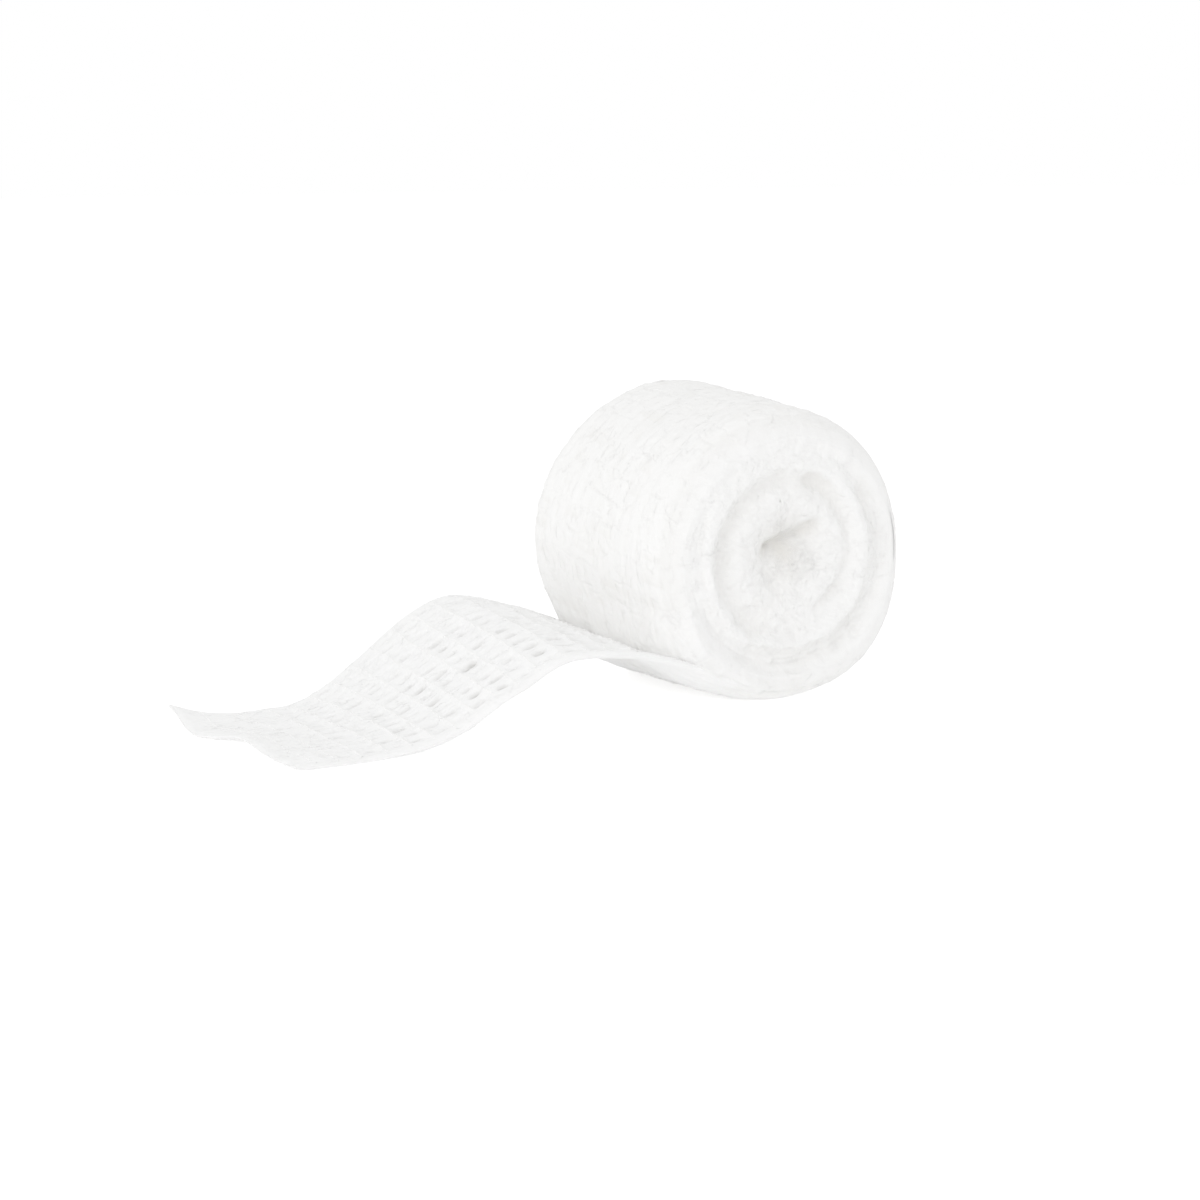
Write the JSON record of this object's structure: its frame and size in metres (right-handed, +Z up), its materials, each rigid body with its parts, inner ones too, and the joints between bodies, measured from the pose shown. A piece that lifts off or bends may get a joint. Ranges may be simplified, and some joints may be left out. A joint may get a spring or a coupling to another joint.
{
  "type": "gauze bandage roll",
  "caption": "Soft white gauze bandage strip wound into a roll, its loose end lying out to one side.",
  "frame": {"origin": "middle of the small flat spot that the roll rests on", "axes": "+Z up; the roll's axis runs along Y, its open end facing -Y; the loose end runs out along -X"},
  "size_m": [0.1417, 0.0496, 0.0597],
  "materials": {
    "wound_gauze": "matte bleached cotton and viscose, fluffy",
    "loose_gauze": "matte open weave, sheer between the threads"
  },
  "bodies": {
    "root": {"wound_roll": "wound_gauze", "loose_end": "loose_gauze"}
  },
  "joints": []
}
